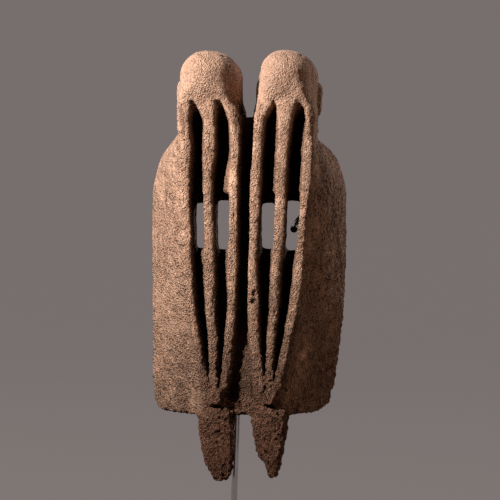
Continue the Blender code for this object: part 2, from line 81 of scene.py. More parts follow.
LEFT_FOOT_X = {241: -40.6, 211: -36.8, 181: -33.0, 148: -31.4, 135: -31.0}
RIGHT_FOOT_X = {241: 67.2, 211: 60.2, 181: 56.8, 148: 55.6, 135: 53.0}
FOOT_Y = {241: -27, 211: -19, 181: -11.5, 166: -9, 148: -7, 135: -6}
GAP_LEFT_X = {433: 13.0, 398: 13.0, 320: 11.5, 241: 9.8, 211: 7.8, 181: 5.2, 148: -0.8, 135: -1.4}
GAP_RIGHT_X = {433: 22.8, 398: 21.4, 320: 18.3, 241: 15.6, 211: 17.0, 181: 20.6, 148: 22.8, 135: 23.2}
GAP_FLOOR_Y = {433: 2, 241: 2, 226: -3, 211: -8, 181: -9, 148: -6, 135: -5}
DOME_X, DOME_HALF = (-21.9, 55.0), (31.6, 31.2)
DOME_TOP, DOME_SPRING, DOME_BOTTOM, DOME_SPRING_Y = 499.6, 473.0, 419.0, 10.0
DOME_REACH, BROW_REACH, BROW_Z, BROW_BLEND, LOBE_DROP = 62.0, 53.5, 464.0, 20.0, 34.0
FACE_TUCK, INNER_TUCK, REAR_TUCK = 4.5, 2.2, 2.8
NOTCH_FLARE, NOTCH_FLARE_Z = 5.6, 452.0
LEFT_EAR = (-54.7, 8.0, 445.0, 13.0, 24.0)
RIGHT_EAR = (90.3, 8.0, 449.5, 12.0, 15.5)
EAR_ROOT, EAR_LEAN = 12.0, 1.2
EYES = ((-35.1, -26.0, 301.8, 347.6), (-13.9, -1.6, 300.6, 350.0), (30.4, 43.4, 301.4, 347.4), (54.2, 67.9, 299.8, 349.4))
EYE_ZONE = (299.6, 357.6)
LEFT_TONGUE = {150: (-31.0, -1.0), 136: (-33.0, 0.6), 120: (-31.6, 0.6), 110: (-30.5, 0.6), 95: (-28.0, 0.1), 84: (-23.2, -1.4), 75: (-18.8, -3.0), 69: (-15.6, -7.0)}
RIGHT_TONGUE = {150: (25.0, 53.0), 136: (20.8, 54.4), 120: (22.6, 52.6), 110: (24.2, 51.4), 96: (28.2, 49.0), 86: (34.6, 47.2), 79: (36.8, 45.4), 72.8: (38.0, 43.2)}
TONGUE_FRONT_Y, TONGUE_BACK_Y, TONGUE_SPREAD = -7.0, 12.0, 2.6
ROD_D, ROD_FOOT_X, ROD_LEAN = 6.2, -0.8, 0.0364
ROD_Y = 18.5

# The flat front of each head runs up into its brow: left and right edge by height.
FACE_TOPS = (
    ({420: -48.0, 433: -47.6, 442: -46.3, 447: -44.3, 452: -40.4, 457: -33.0}, {420: 11.0, 427: 10.7, 437: 9.0, 447: 6.4, 452: 3.4, 457: -1.0}),
    ({420: 26.6, 433: 26.8, 440: 27.6, 447: 28.6, 452: 30.0, 457: 36.0}, {420: 84.0, 433: 84.8, 440: 84.0, 447: 81.5, 452: 78.0, 457: 74.0}),
)

# ---- the grid that the mask is carved on ---------------------------------------------------------------------------
STEP = 1.05
LOW = np.array([-93.0, -58.0, 65.0])
HIGH = np.array([120.0, 58.0, 504.0])
FAR = 6.0
COUNT = np.ceil((HIGH - LOW) / STEP).astype(int) + 1
XS, YS, ZS = (LOW[a] + STEP * np.arange(COUNT[a]) for a in range(3))
GX, GY = np.meshgrid(XS, YS, indexing="ij")


def smooth(table):
    """A function of height that runs smoothly through the stations of the table and never overshoots them."""
    zs = sorted(table)
    vs = [table[z] for z in zs]
    slopes = [(b - a) / (q - p) for a, b, p, q in zip(vs, vs[1:], zs, zs[1:])]
    tangents = [slopes[0]]
    for a, b in zip(slopes, slopes[1:]):
        tangents.append(0.0 if a * b <= 0 else 2 * a * b / (a + b))
    tangents.append(slopes[-1])

    def value(z):
        z = min(max(z, zs[0]), zs[-1])
        i = max(k for k in range(len(zs) - 1) if zs[k] <= z)
        h = zs[i + 1] - zs[i]
        t = (z - zs[i]) / h
        return (
            vs[i] * (1 + 2 * t) * (1 - t) ** 2
            + tangents[i] * h * t * (1 - t) ** 2
            + vs[i + 1] * t * t * (3 - 2 * t)
            + tangents[i + 1] * h * t * t * (t - 1)
        )

    return value


def ease(t):
    t = np.clip(t, 0.0, 1.0)
    return t * t * (3 - 2 * t)


def blend_max(a, b, k):
    """Intersection of two fields with a rounded edge of about k."""
    h = np.clip(k - np.abs(a - b), 0.0, None) / k
    return np.maximum(a, b) + h * h * k * 0.25


def blend_min(a, b, k):
    """Union of two fields with a fillet of about k."""
    h = np.clip(k - np.abs(a - b), 0.0, None) / k
    return np.minimum(a, b) - h * h * k * 0.25


def window(x0, x1, y0, y1):
    i0, i1 = np.searchsorted(XS, (x0, x1))
    j0, j1 = np.searchsorted(YS, (y0, y1))
    return slice(max(i0 - 1, 0), i1 + 1), slice(max(j0 - 1, 0), j1 + 1)


def outline(points, margin=7.0):
    """Signed distance to a closed outline on one slice, minus inside. Away from the outline it is FAR."""
    ring = np.array([(p[0], p[1]) for p in points])
    low, high = ring.min(0) - margin, ring.max(0) + margin
    area = window(low[0], high[0], low[1], high[1])
    px, py = GX[area], GY[area]
    best = np.full(px.shape, 1e9)
    inside = np.zeros(px.shape, bool)
    for (ax, ay), (bx, by) in zip(ring, np.roll(ring, -1, axis=0)):
        ex, ey = bx - ax, by - ay
        wx, wy = px - ax, py - ay
        t = np.clip((wx * ex + wy * ey) / (ex * ex + ey * ey + 1e-12), 0, 1)
        best = np.minimum(best, (wx - ex * t) ** 2 + (wy - ey * t) ** 2)
        if ay != by:
            inside ^= ((ay > py) != (by > py)) & (px < ax + ex * wy / ey)
    field = np.full(GX.shape, FAR)
    field[area] = np.where(inside, -1.0, 1.0) * np.sqrt(best)
    return np.clip(field, -FAR, FAR)


# ---- the form of the mask, as functions of height --------------------------------------------------------------------
ridge_front = smooth(RIDGE_FRONT_Y)
groove_floor = smooth(GROOVE_FLOOR_Y)
rims = (smooth(LEFT_RIM), smooth(RIGHT_RIM))
foot_x = (smooth(LEFT_FOOT_X), smooth(RIGHT_FOOT_X))
foot_y = smooth(FOOT_Y)
gap_x = (smooth(GAP_LEFT_X), smooth(GAP_RIGHT_X))
gap_floor = smooth(GAP_FLOOR_Y)
centres = [[smooth(dict(zip(RIDGE_HEIGHTS, row))) for row in head] for head in (LEFT_RIDGES, RIGHT_RIDGES)]
widths = [[smooth(dict(zip(RIDGE_HEIGHTS, row))) for row in head] for head in (LEFT_WIDTHS, RIGHT_WIDTHS)]
face_tops = [[smooth(edge) for edge in head] for head in FACE_TOPS]
tongues = [(min(t), smooth({k: v[0] for k, v in t.items()}), smooth({k: v[1] for k, v in t.items()})) for t in (LEFT_TONGUE, RIGHT_TONGUE)]


def ridge_edges(head, ridge, z):
    centre, half = centres[head][ridge](z), widths[head][ridge](z) / 2
    return centre - half, centre + half


def face_edges(head, z):
    low = RIDGE_HEIGHTS[-1]
    left, right = ridge_edges(head, 0, max(z, low))[0], ridge_edges(head, 2, max(z, low))[1]
    if z < low:
        t = min(1.0, (low - z) / (low - CHIN_Z))
        left += (CHIN_TIPS[head][0] - left) * t
        right += (CHIN_TIPS[head][1] - right) * t
    return left, right


def face_front(z):
    if z >= CHIN_Z:
        return ridge_front(z)
    t = min(1.0, (CHIN_Z - z) / (CHIN_Z - CHIN_FOOT_Z))
    return ridge_front(CHIN_Z) + (TONGUE_FRONT_Y + 1.3 - ridge_front(CHIN_Z)) * t


def wing(side, z, inner_x, inner_y):
    rim = rims[side](z)
    span_x, span_y = rim - inner_x, RIM_Y - inner_y
    length = math.hypot(span_x, span_y)
    out_x, out_y = abs(span_y) / length * (1 if side else -1), -abs(span_x) / length
    swell = min(WING_SWELL, abs(span_x) * 0.12)
    points = []
    for t in (0.2, 0.4, 0.6, 0.8, 0.94):
        push = swell * math.sin(math.pi * t)
        points.append((inner_x + span_x * t + out_x * push, inner_y + span_y * t + out_y * push))
    return points + [(rim, RIM_Y)]


def corner_turn(head, z):
    """How far the front of a head is cut away at its right-hand corner."""
    return (6.0, 5.0)[head] * float(ease((z - 400) / 28)) + 5.0 * float(ease((z - 434) / 16))


def shield_section(z):
    front = face_front(z)
    (l0, l1), (r0, r1) = face_edges(0, z), face_edges(1, z)
    high = z >= 241
    left_foot = (l0 - 0.8, front + 2.2) if high else (foot_x[0](z), max(foot_y(z), front + 1.0) + 3.0 * float(ease((241 - z) / 30) * ease((z - 145) / 25)))
    right_foot = (r1 + 0.8, front + 2.2) if high else (foot_x[1](z), max(foot_y(z), front + 1.0))
    floor = gap_floor(z)
    gap_l, gap_r = max(gap_x[0](z), l1 + 1.0), min(gap_x[1](z), r0 - 1.0)
    points = list(reversed(wing(0, z, *left_foot)))
    turn_l, turn_r = corner_turn(0, z), corner_turn(1, z)
    points += [left_foot, (l0, front + 1.0), (l0 + 1.2, front), (l1 - 1.8 - turn_l, front), (l1, front + 1.6 + turn_l * 0.75)]
    points += [(gap_l, floor), (gap_r, floor)]
    points += [(r0, front + 1.0), (r0 + 1.2, front), (r1 - 1.2 - turn_r, front), (r1, front + 1.0 + turn_r), (right_foot[0], right_foot[1] + turn_r)]
    return points + wing(1, z, *right_foot)


def dome_field(head, z):
    """One head: round in front under its brow, straight back along its sides to the rear rim."""
    half_full = DOME_HALF[head]
    area = window(DOME_X[head] - half_full - 10, DOME_X[head] + half_full + 10, YS[0], YS[-1])
    rise = max(0.0, (z - DOME_SPRING) / (DOME_TOP - DOME_SPRING))
    shrink = math.sqrt(max(0.02, 1 - rise * rise))
    u, v = GX[area] - DOME_X[head], DOME_SPRING_Y - GY[area]
    inner_side = u * (0.5 - head) > 0
    lean = (1.9, 3.4)[head] * float(ease((z - (450, 460)[head]) / 20))
    half = np.where(inner_side, half_full - INNER_TUCK * ease((446 - z) / 13) - lean * head, half_full - lean * (1 - head))
    half = half - np.where(inner_side, 3.6 * head * ease((v + 6.0) / 16.0) * float(ease((488 - z) / 16)), 0.0)
    u = u + 2.2 * np.clip(v / 30.0, 0, 1) * np.clip(1 - (u / half_full) ** 2, 0, 1)
    power = 2.05 + 1.6 * float(ease((DOME_SPRING - z) / 50))
    un = np.abs(u) / half
    brow = ease((BROW_Z - LOBE_DROP * np.clip(un, 0, 1) ** 3.5 - z) / BROW_BLEND)
    reach = (DOME_REACH + (BROW_REACH - DOME_REACH) * brow) * shrink**-0.15 - FACE_TUCK * float(ease((442 - z) / 20))
    q = (un**power + (np.clip(v, 0, None) / reach) ** power) ** (1 / power)
    depth = RIM_Y - 0.5 - DOME_SPRING_Y
    back = np.clip(-v / depth, 0, 1.4)
    flare = np.where(inner_side, (NOTCH_FLARE * float(ease((NOTCH_FLARE_Z - z) / 18)) + 1.6 * head * float(ease((486 - z) / 20))) * np.clip(back * 2, 0, 1), 0.0)
    q_rear = np.abs(u) / (half - REAR_TUCK * back**2 + flare)
    s = np.sqrt(np.where(v < 0, q_rear, q) ** 2 + rise * rise)
    radius = np.sqrt(u * u + np.clip(v, 0, None) ** 2 + max(0.0, z - DOME_SPRING) ** 2)
    d = radius * (1 - 1 / np.maximum(s, 0.05))
    d = blend_max(d, (np.sqrt(back**2 + rise**4) - 1) * depth, 3.0)
    field = np.full(GX.shape, FAR)
    field[area] = np.maximum(d, DOME_BOTTOM - z)
    return np.clip(field, -FAR, FAR)


def ear_field(out, ear, z):
    """A low pad on the outer side of a head."""
    x, y, middle, half_d, half_h = ear
    b = (z - middle) / half_h
    q = np.sqrt(((GY - y) / half_d) ** 2 + b * b)
    outer = out * (GX - x) - b * EAR_LEAN
    side = (q - 0.9 - 0.6 * np.clip(-outer / EAR_ROOT, 0, 1)) * min(half_d, half_h)
    return np.clip(blend_max(np.maximum(side, -outer - EAR_ROOT), outer, 2.2), -FAR, FAR)


def groove_section(number, z):
    """One of the four deep grooves. Its left side slopes in, its right side is bevelled above and below the eyes."""
    head, left = divmod(number, 2)
    xl, xr = ridge_edges(head, left, z)[1], ridge_edges(head, left + 1, z)[0]
    if z > ARCH_Z:
        top, quick_l, quick_r = GROOVE_TOPS[number]
        t = max(0.0, (GROOVE_TOP_Z[number] - z) / (GROOVE_TOP_Z[number] - ARCH_Z))
        xl, xr = top + (xl - top) * t**quick_l, top + (xr - top) * t**quick_r
    if xr - xl < 1.0:
        middle = (xl + xr) / 2
        xl, xr = middle - 0.5, middle + 0.5
    front, floor = ridge_front(z), groove_floor(z)
    floor = max(min(floor, front + (GROOVE_TOP_Z[number] - z) * 2.2), front + 0.6)
    eye = float(ease((z - EYE_ZONE[0]) / 2.5) * ease((EYE_ZONE[1] - z) / 2.5))
    room = min(1.0, (xr - xl) / 12.0)
    deep = min(1.0, (floor - front) / 20.0)
    slope = (2.6 + (0.6 - 2.6) * eye) * room * deep
    xl += 1.9 * room
    cut = (1.5 + (0.7 - 1.5) * eye) * room
    out = BEVEL_OUT[number](z) * (1 - eye) * room
    bevel_y = min(front + 13.0, floor - 0.2)
    return [
        (xl - 3.3, -80.0), (xl - 3.0, front - 0.6), (xl, front + 3.0), (xl + slope, floor),
        (max(xr - out - 0.3, xl + slope + 0.2), floor), (max(xr - out, xl + slope + 0.3), bevel_y), (xr + cut, front + 0.4), (xr + cut + 0.6, -80.0),
    ]


# How far the lit flank of the next ridge comes into each groove: most just above the eyes.
BEVEL_OUT = [smooth(t) for t in (
    {447: 0.8, 380: 1.0, 358: 1.4, 299: 3.2, 282: 1.6, 250: 1.0, 160: 0.8},
    {447: 0.8, 400: 1.6, 380: 3.2, 358: 5.6, 299: 3.0, 280: 2.0, 250: 1.0, 160: 0.8},
    {447: 0.8, 400: 2.0, 380: 2.6, 358: 2.4, 299: 2.2, 280: 1.6, 250: 1.0, 160: 0.8},
    {447: 0.8, 400: 1.4, 380: 1.2, 358: 1.2, 299: 1.6, 280: 1.4, 250: 1.0, 160: 0.8},
)]


def eye_section(eye, z, grow=1.0):
    x0, x1, z0, z1 = eye
    middle, half = (z0 + z1) / 2, (z1 - z0) / 2
    end = max(0.0, 1 - abs((z - middle) / half) ** 7) ** (1 / 4)
    centre, reach = (x0 + x1) / 2, (x1 - x0) / 2 * (0.45 + 0.55 * end)
    if z < middle:  # the lower ends are cut off slantwise on the viewer's left
        centre += 1.1 * (1 - end)
    return [(centre - reach, -14.0), (centre + reach, -14.0), (centre + reach + grow, 24.0), (centre - reach - grow, 24.0)]


def wing_inner_x(side, z):
    zz = max(min(z, SHIELD_TOP), SHIELD_BOTTOM)
    low, high = face_edges(side, zz)
    inner_x = (low if side == 0 else high) if zz >= 241 else foot_x[side](zz)
    inner_y = face_front(zz) if zz >= 241 else foot_y(zz)
    rim = rims[side](zz)
    t = (PLATE_BACK_Y - inner_y) / (RIM_Y - inner_y)
    inwards = -1 if side else 1
    return inner_x + (rim - inner_x) * t + inwards * WALL, rim + inwards * RIM_WALL


def hollow_section(z):
    (l_in, l_rim), (r_in, r_rim) = wing_inner_x(0, z), wing_inner_x(1, z)
    arch = max(0.0, 1 - max(0.0, (z - 380) / (HOLLOW_TOP + 0.01 - 380)) ** 3) ** (1 / 3)
    centre = (l_in + r_in) / 2
    squeeze = 0.62 + 0.38 * arch
    l_in, r_in = centre + (l_in - centre) * squeeze, centre + (r_in - centre) * squeeze
    l_rim, r_rim = centre + (l_rim - centre) * squeeze, centre + (r_rim - centre) * squeeze
    beyond = 20.0 / (RIM_Y - PLATE_BACK_Y)
    return [
        (l_in + 3, PLATE_BACK_Y), (r_in - 3, PLATE_BACK_Y), (r_in, PLATE_BACK_Y + 4), (r_rim, RIM_Y),
        (r_rim + (r_rim - r_in) * beyond, RIM_Y + 20), (l_rim + (l_rim - l_in) * beyond, RIM_Y + 20), (l_rim, RIM_Y), (l_in, PLATE_BACK_Y + 4),
    ]


def pocket_section(head, z):
    top, spring = 478.0, 455.0
    rise = min(0.999, max(0.0, (z - spring) / (top - spring)))
    half = (DOME_HALF[head] - 8.5) * math.sqrt(1 - rise * rise)
    front = PLATE_BACK_Y - 10.0 * float(ease((z - 440) / 12))
    return [
        (DOME_X[head] - half * 0.85, front), (DOME_X[head] + half * 0.85, front), (DOME_X[head] + half, front + 6),
        (DOME_X[head] + half, RIM_Y + 20), (DOME_X[head] - half, RIM_Y + 20), (DOME_X[head] - half, front + 6),
    ]


def tongue_section(side, low, left_of, right_of, z):
    left, right = left_of(z), right_of(z)
    thin = 1.0 - 0.45 * float(ease((low + 30 - z) / 30))
    back = TONGUE_FRONT_Y + 1.0 + (TONGUE_BACK_Y - TONGUE_FRONT_Y - 1.0) * thin
    front = TONGUE_FRONT_Y + 1.5 * float(ease((low + 14 - z) / 14))
    edge = min(2.0, (right - left) * 0.2)
    swell = 8.5 * float(ease((z - 96) / 46))
    peak = min(max(CHIN_TIPS[side][0] + 2.0, left + edge + 1.0), right - edge - 2.0)
    return [
        (left, front + edge * 0.8 - swell * 0.1), (left + edge, front - swell * 0.25), (peak, front - swell), (right - edge, front - swell * 0.9), (right, front + edge * 0.8 - swell * 0.6),
        (right + TONGUE_SPREAD, back - 2), (right + TONGUE_SPREAD - 2, back), (left - TONGUE_SPREAD * 0.6 + 2, back), (left - TONGUE_SPREAD * 0.6, back - 2),
    ]


def box_field(x0, x1, y0, y1, z0, z1, z):
    dx = np.maximum(x0 - GX, GX - x1)
    dy = np.maximum(y0 - GY, GY - y1)
    return np.clip(np.maximum(np.maximum(dx, dy), max(z0 - z, z - z1)), -FAR, FAR)


def carve(z):
    """The field of the whole mask on one slice."""
    d = np.full(GX.shape, FAR)
    if SHIELD_BOTTOM - 5 < z < SHIELD_TOP + 5:
        block = outline(shield_section(min(max(z, SHIELD_BOTTOM), SHIELD_TOP)))
        block = blend_max(block, SHIELD_BOTTOM - z, 2.0)
        d = blend_max(block, z - SHIELD_TOP, 3.0)
    if z > DOME_BOTTOM - 5:
        for head in (0, 1):
            d = blend_min(d, dome_field(head, z), 3.0)
            if z < 460:
                left, right = face_tops[head][0](z), face_tops[head][1](z)
                front = face_front(min(z, 433.0)) + 10.0 * float(ease((z - 436) / 26))
                turn = corner_turn(head, z)
                face = outline([(left, front + 2.0), (left + 2.0, front), (right - turn - 1.5, front), (right, front + 1.5 + turn * (0.75, 1.0)[head]), (right, 5.0), (left, 5.0)])
                d = blend_min(d, blend_max(face, z - 457.0, 3.0), 4.0)
        for out, ear in ((-1, LEFT_EAR), (1, RIGHT_EAR)):
            if abs(z - ear[2]) < ear[4] * 1.6 + 4:
                d = blend_min(d, ear_field(out, ear, z), 1.6)
    for side, (low, left_of, right_of) in enumerate(tongues):
        if low - 5 < z < 150:
            tongue = outline(tongue_section(side, low, left_of, right_of, min(max(z, low), 141.0)))
            tongue = blend_max(tongue, low - z, 3.5)
            tip = CHIN_TIPS[side][1]
            top = 141.0 + 5.0 * np.clip(1 - (GX - tip) / 10.0, 0, 1) * (GX > tip) + (1.0 + 4.5 * np.clip((tip - (8.0, 5.0)[side] - GX) / 2.0, 0, 1)) * (GX <= tip)
            tongue = np.clip(np.maximum(tongue, (z - top) * 0.9), -FAR, FAR)
            d = blend_min(d, tongue, 3.0)
    if GROOVE_END_Z - 2 < z < 447.0:
        for number in range(4):
            d = blend_max(d, -outline(groove_section(number, z)), 1.6 + float(ease((z - 180) / 60)))
    for eye in EYES:
        if eye[2] - 3 < z < eye[3] + 3:
            slot = outline(eye_section(eye, min(max(z, eye[2]), eye[3])))
            slot = np.maximum(slot, max(eye[2] - z, z - eye[3]))
            d = blend_max(d, -slot, 1.2)
    if z < HOLLOW_TOP + 5:
        hollow = blend_max(outline(hollow_section(min(z, HOLLOW_TOP))), z - HOLLOW_TOP, 4.0)
        d = blend_max(d, -hollow, 1.6)
    if 390 < z < 483:
        for head in (0, 1):
            pocket = outline(pocket_section(head, min(max(z, 392.0), 477.6)))
            pocket = blend_max(pocket, max(392.0 - z, z - 478.0), 4.0)
            d = blend_max(d, -pocket, 3.0)
    for x0, x1 in CHIN_TIPS:
        if abs(z - 145.4) < 8:
            d = blend_max(d, -box_field(x0 - 0.5, x1 + 0.5, -60.0, -9.0, 143.2, 147.6, z), 0.8)
    return d


def blur(field, sigma):
    """Softens the carved field by a little more than half a step each way."""
    reach = 2
    taps = np.exp(-0.5 * (np.arange(-reach, reach + 1) / sigma) ** 2)
    taps /= taps.sum()
    for axis in range(3):
        padded = np.pad(field, [(reach, reach) if a == axis else (0, 0) for a in range(3)], mode="edge")
        total = np.zeros_like(field)
        for k, tap in enumerate(taps):
            cut = [slice(None)] * 3
            cut[axis] = slice(k, k + field.shape[axis])
            total += np.float32(tap) * padded[tuple(cut)]
        field = total
    return field


def skin(field):
    """The surface where the field is zero: one point in each cell that the surface crosses, joined by quads."""
    below = field < 0
    corners = [(a, b, c) for a in (0, 1) for b in (0, 1) for c in (0, 1)]
    nx, ny, nz = (n - 1 for n in field.shape)
    hits = np.zeros((nx, ny, nz), np.int8)
    for a, b, c in corners:
        hits += below[a:a + nx, b:b + ny, c:c + nz]
    cells = np.argwhere((hits > 0) & (hits < 8))
    number = np.full((nx, ny, nz), -1, np.int64)
    number[tuple(cells.T)] = np.arange(len(cells))
    value = {k: field[cells[:, 0] + k[0], cells[:, 1] + k[1], cells[:, 2] + k[2]].astype(np.float64) for k in corners}
    total, many = np.zeros((len(cells), 3)), np.zeros(len(cells))
    for k in corners:
        for axis in range(3):
            if k[axis]:
                continue
            other = tuple(1 if a == axis else k[a] for a in range(3))
            f0, f1 = value[k], value[other]
            cross = (f0 < 0) != (f1 < 0)
            t = np.where(cross, f0 / np.where(cross, f0 - f1, 1.0), 0.0)
            point = np.tile(np.array(k, float), (len(cells), 1))
            point[:, axis] = t
            total += point * cross[:, None]
            many += cross
    points = LOW + STEP * (cells + total / many[:, None])
    quads = []
    for axis in range(3):
        b, c = [a for a in range(3) if a != axis]
        first = [slice(1, n) for n in (nx, ny, nz)]
        first[axis] = slice(0, (nx, ny, nz)[axis])
        second = list(first)
        second[axis] = slice(1, (nx, ny, nz)[axis] + 1)
        s0, s1 = below[tuple(first)], below[tuple(second)]
        for turn, mask in ((axis != 1, s0 & ~s1), (axis == 1, ~s0 & s1)):
            base = np.argwhere(mask)
            base[:, b] += 1
            base[:, c] += 1
            around = []
            for db, dc in ((-1, -1), (0, -1), (0, 0), (-1, 0)):
                cell = base.copy()
                cell[:, b] += db
                cell[:, c] += dc
                around.append(number[tuple(cell.T)])
            ring = np.stack(around, axis=1)
            quads.append(ring if turn else ring[:, ::-1])
    return points, np.concatenate(quads)


# ---- noise for the relief, the same on every run ------------------------------------------------------------------
_gradients = np.random.default_rng(20).normal(size=(64, 64, 64, 3)).astype(np.float32)
_gradients /= np.linalg.norm(_gradients, axis=-1, keepdims=True)


def noise(points, size, seed=0):
    """Smooth noise from about -0.7 to 0.7. size is the width of its lumps, one number or one for each axis."""
    q = (points / np.asarray(size, float) + seed * np.array([7.31, 3.77, 5.19])).astype(np.float32)
    cell = np.floor(q).astype(int)
    f = q - cell
    w = f * f * f * (f * (f * 6 - 15) + 10)
    total = np.zeros(len(points), np.float32)
    for a in (0, 1):
        for b in (0, 1):
            for c in (0, 1):
                g = _gradients[(cell[:, 0] + a) % 64, (cell[:, 1] + b) % 64, (cell[:, 2] + c) % 64]
                away = f - np.array([a, b, c], np.float32)
                weight = (w[:, 0] if a else 1 - w[:, 0]) * (w[:, 1] if b else 1 - w[:, 1]) * (w[:, 2] if c else 1 - w[:, 2])
                total += weight * np.einsum("ij,ij->i", g, away)
    return total


def make_mesh(name, points, faces):
    mesh = bpy.data.meshes.new(name)
    mesh.vertices.add(len(points))
    mesh.vertices.foreach_set("co", (points * MM).astype(np.float32).ravel())
    mesh.loops.add(faces.size)
    mesh.loops.foreach_set("vertex_index", faces.astype(np.int32).ravel())
    mesh.polygons.add(len(faces))
    mesh.polygons.foreach_set("loop_start", np.arange(0, faces.size, faces.shape[1], dtype=np.int32))
    mesh.update(calc_edges=True)
    mesh.validate()
    mesh.polygons.foreach_set("use_smooth", np.ones(len(mesh.polygons), bool))
    made = bpy.data.objects.new(name, mesh)
    scene.collection.objects.link(made)
    return made


def vertex_normals(mesh):
    normals = np.zeros(len(mesh.vertices) * 3, np.float32)
    mesh.vertex_normals.foreach_get("vector", normals)
    return normals.reshape(-1, 3).astype(float)


def paint(mesh, name, values):
    layer = mesh.attributes.new(name, "FLOAT", "POINT")
    layer.data.foreach_set("value", np.asarray(values, np.float32))


# ---- carving the mask ----------------------------------------------------------------------------------------------
field = np.empty(tuple(COUNT), np.float32)
for k, z in enumerate(ZS):
    field[:, :, k] = np.clip(carve(float(z)), -3.0, 3.0)
field = blur(field, 0.65)
points, quads = skin(field)
carving = make_mesh("mask_carving", points, quads)
normals = vertex_normals(carving.data)

# Where each point lies: 1 inside the hollow behind, 1 on the tongues, 1 deep in a groove.
x, y, z = points.T
tongue_part = ease((141.0 - z) / 8.0)
front_at = np.interp(z, ZS, [face_front(float(h)) for h in ZS])
span = np.array([(face_edges(0, min(max(h, 160.0), 440.0))[0], face_edges(1, min(max(h, 160.0), 440.0))[1]) for h in ZS])
between = ease((x - np.interp(z, ZS, span[:, 0]) - 3.0) / 4.0) * ease((np.interp(z, ZS, span[:, 1]) - 3.0 - x) / 4.0)
# Painted shade: the sides of the ridges, just behind their fronts, get a darker colour for the part shadow that falls
# on them.
flank = ease((y - front_at - 1.2) / 6.5) * between * ease((z - 150.0) / 12.0) * ease((440.0 - z) / 12.0)
# Painted shade: deep in the grooves and between the heads the colour goes nearly black, where shade falls.
deep = ease((y - front_at - 6.0) / 24.0) * between * ease((z - 150.0) / 12.0) * ease((452.0 - z) / 8.0)
behind = ease((y - 2.0) / 8.0) * ease((normals[:, 1] + 0.15) / 0.4) * (1 - tongue_part)
rear_face = ease((y - 47.0) / 4.0)
behind = np.maximum(behind, rear_face * ease((normals[:, 1] - 0.5) / 0.3))
front_lit = 1 - behind

lumps = noise(points, 25.0, 1) * 0.8 + noise(points, 12.0, 2) * 0.75
rough = np.interp(z, [70, 135, 170, 215, 260, 330, 400, 440, 500], [5.4, 5.6, 5.2, 2.9, 1.5, 1.05, 0.85, 0.62, 0.48])
rough = rough * (1 + 1.3 * noise(points, (24.0, 24.0, 34.0), 11) + 0.5 * noise(points, 9.0, 12)) * (1 - 0.45 * ease((np.interp(z, ZS, span[:, 0]) - x) / 6.0) * ease((300 - z) / 60.0))
rough = np.maximum(rough, 0.12)
fine = (noise(points, (4.8, 4.8, 6.2), 3) * 0.42 + noise(points, (2.8, 2.8, 3.6), 4) * 0.62) * rough**0.5 * np.interp(z, [60, 150, 200, 430, 450], [2.0, 1.9, 1.3, 1.3, 1.0]) * (1 - 0.18 * ease((-50 - x) / 6.0))
pit_field = noise(points, (3.6, 3.6, 4.6), 5) + 0.35 * noise(points, 1.8, 6)
pits = np.clip(pit_field - 0.30, 0.0, 0.35)
coarse = noise(points, (4.2, 4.2, 3.0), 7)
adze = np.abs(noise(points * np.array([1, 1, 1.0]), (9.0, 9.0, 16.0), 8))
relief = fine - 2.0 * pits * rough**0.7 * (1 - behind) + coarse * 0.35 * tongue_part
# Chips, dents and pits on the front: X, Z, half width, half height, depth.
CHIPS = (
    (25.6, 256.7, 3.2, 4.8, 3.0), (23.5, 248.9, 3.0, 3.2, 2.8), (26.4, 251.5, 1.8, 2.6, 1.6), (71.6, 311.3, 1.7, 3.2, 1.4), (5.6, 333.3, 1.8, 3.4, 1.5), (45.0, 239.0, 1.5, 3.4, 1.4),
    (76.4, 284.8, 2.8, 2.0, 1.6), (82.5, 314.6, 1.4, 3.2, 1.4), (85.2, 356.0, 1.6, 3.6, 1.4), (-6.6, 492.0, 1.9, 1.6, 1.3), (71.0, 493.0, 1.9, 1.6, 1.3),
    (6.5, 391.0, 1.3, 2.0, 1.1), (-50.5, 211.0, 1.5, 2.2, 1.1), (-55.0, 237.0, 1.4, 1.7, 1.0), (30.0, 181.0, 1.6, 2.4, 1.2), (60.0, 200.0, 2.0, 1.4, 1.3),
    (96.0, 173.0, 1.8, 1.4, 1.2), (-60.0, 160.0, 1.5, 2.6, 1.2), (22.0, 395.0, 1.4, 2.0, 1.2), (55.5, 402.0, 2.0, 1.4, 1.0), (-44.0, 396.0, 1.2, 1.8, 1.0),
    # The last three make a shallow scar on the left brow corner. Through the darker colour of sunk relief they also
    # paint the shade that falls on that corner.
    (-45.6, 429.0, 4.6, 13.0, 2.0), (-43.5, 418.0, 3.6, 8.0, 1.8), (-47.0, 438.0, 3.4, 7.0, 1.5),
)
CRACKS = (((20.3, 203.0), (20.7, 190.0), (21.2, 160.0), (22.4, 131.0)), ((53.0, 174.0), (56.0, 150.0), (56.6, 138.0)), ((-68.5, 226.0), (-67.5, 214.0), (-68.0, 205.0)))
facing = ease((-normals[:, 1] - 0.05) / 0.3) * front_lit
dent = np.zeros(len(points))
for cx, cz, rx, rz, depth in CHIPS:
    q = np.clip(1 - ((x - cx) / rx) ** 2 - ((z - cz) / rz) ** 2, 0, 1)
    dent = np.maximum(dent, depth * q**0.8)
crack = np.zeros(len(points))
for line in CRACKS:
    for (ax, az), (bx, bz) in zip(line, line[1:]):
        t = np.clip(((x - ax) * (bx - ax) + (z - az) * (bz - az)) / ((bx - ax) ** 2 + (bz - az) ** 2), 0, 1)
        off = np.hypot(x - ax - (bx - ax) * t, z - az - (bz - az) * t)
        crack = np.maximum(crack, np.exp(-((off / 0.9) ** 2)))
dent, crack = dent * facing, crack * facing
relief = relief - dent * 0.5 - crack * 0.5
push = (lumps * (1 - 0.3 * tongue_part) + relief) * (1 - 0.55 * behind) - adze * 1.6 * behind - dent * 0.6 - crack * 0.5 - 0.05
points = points + normals * push[:, None]

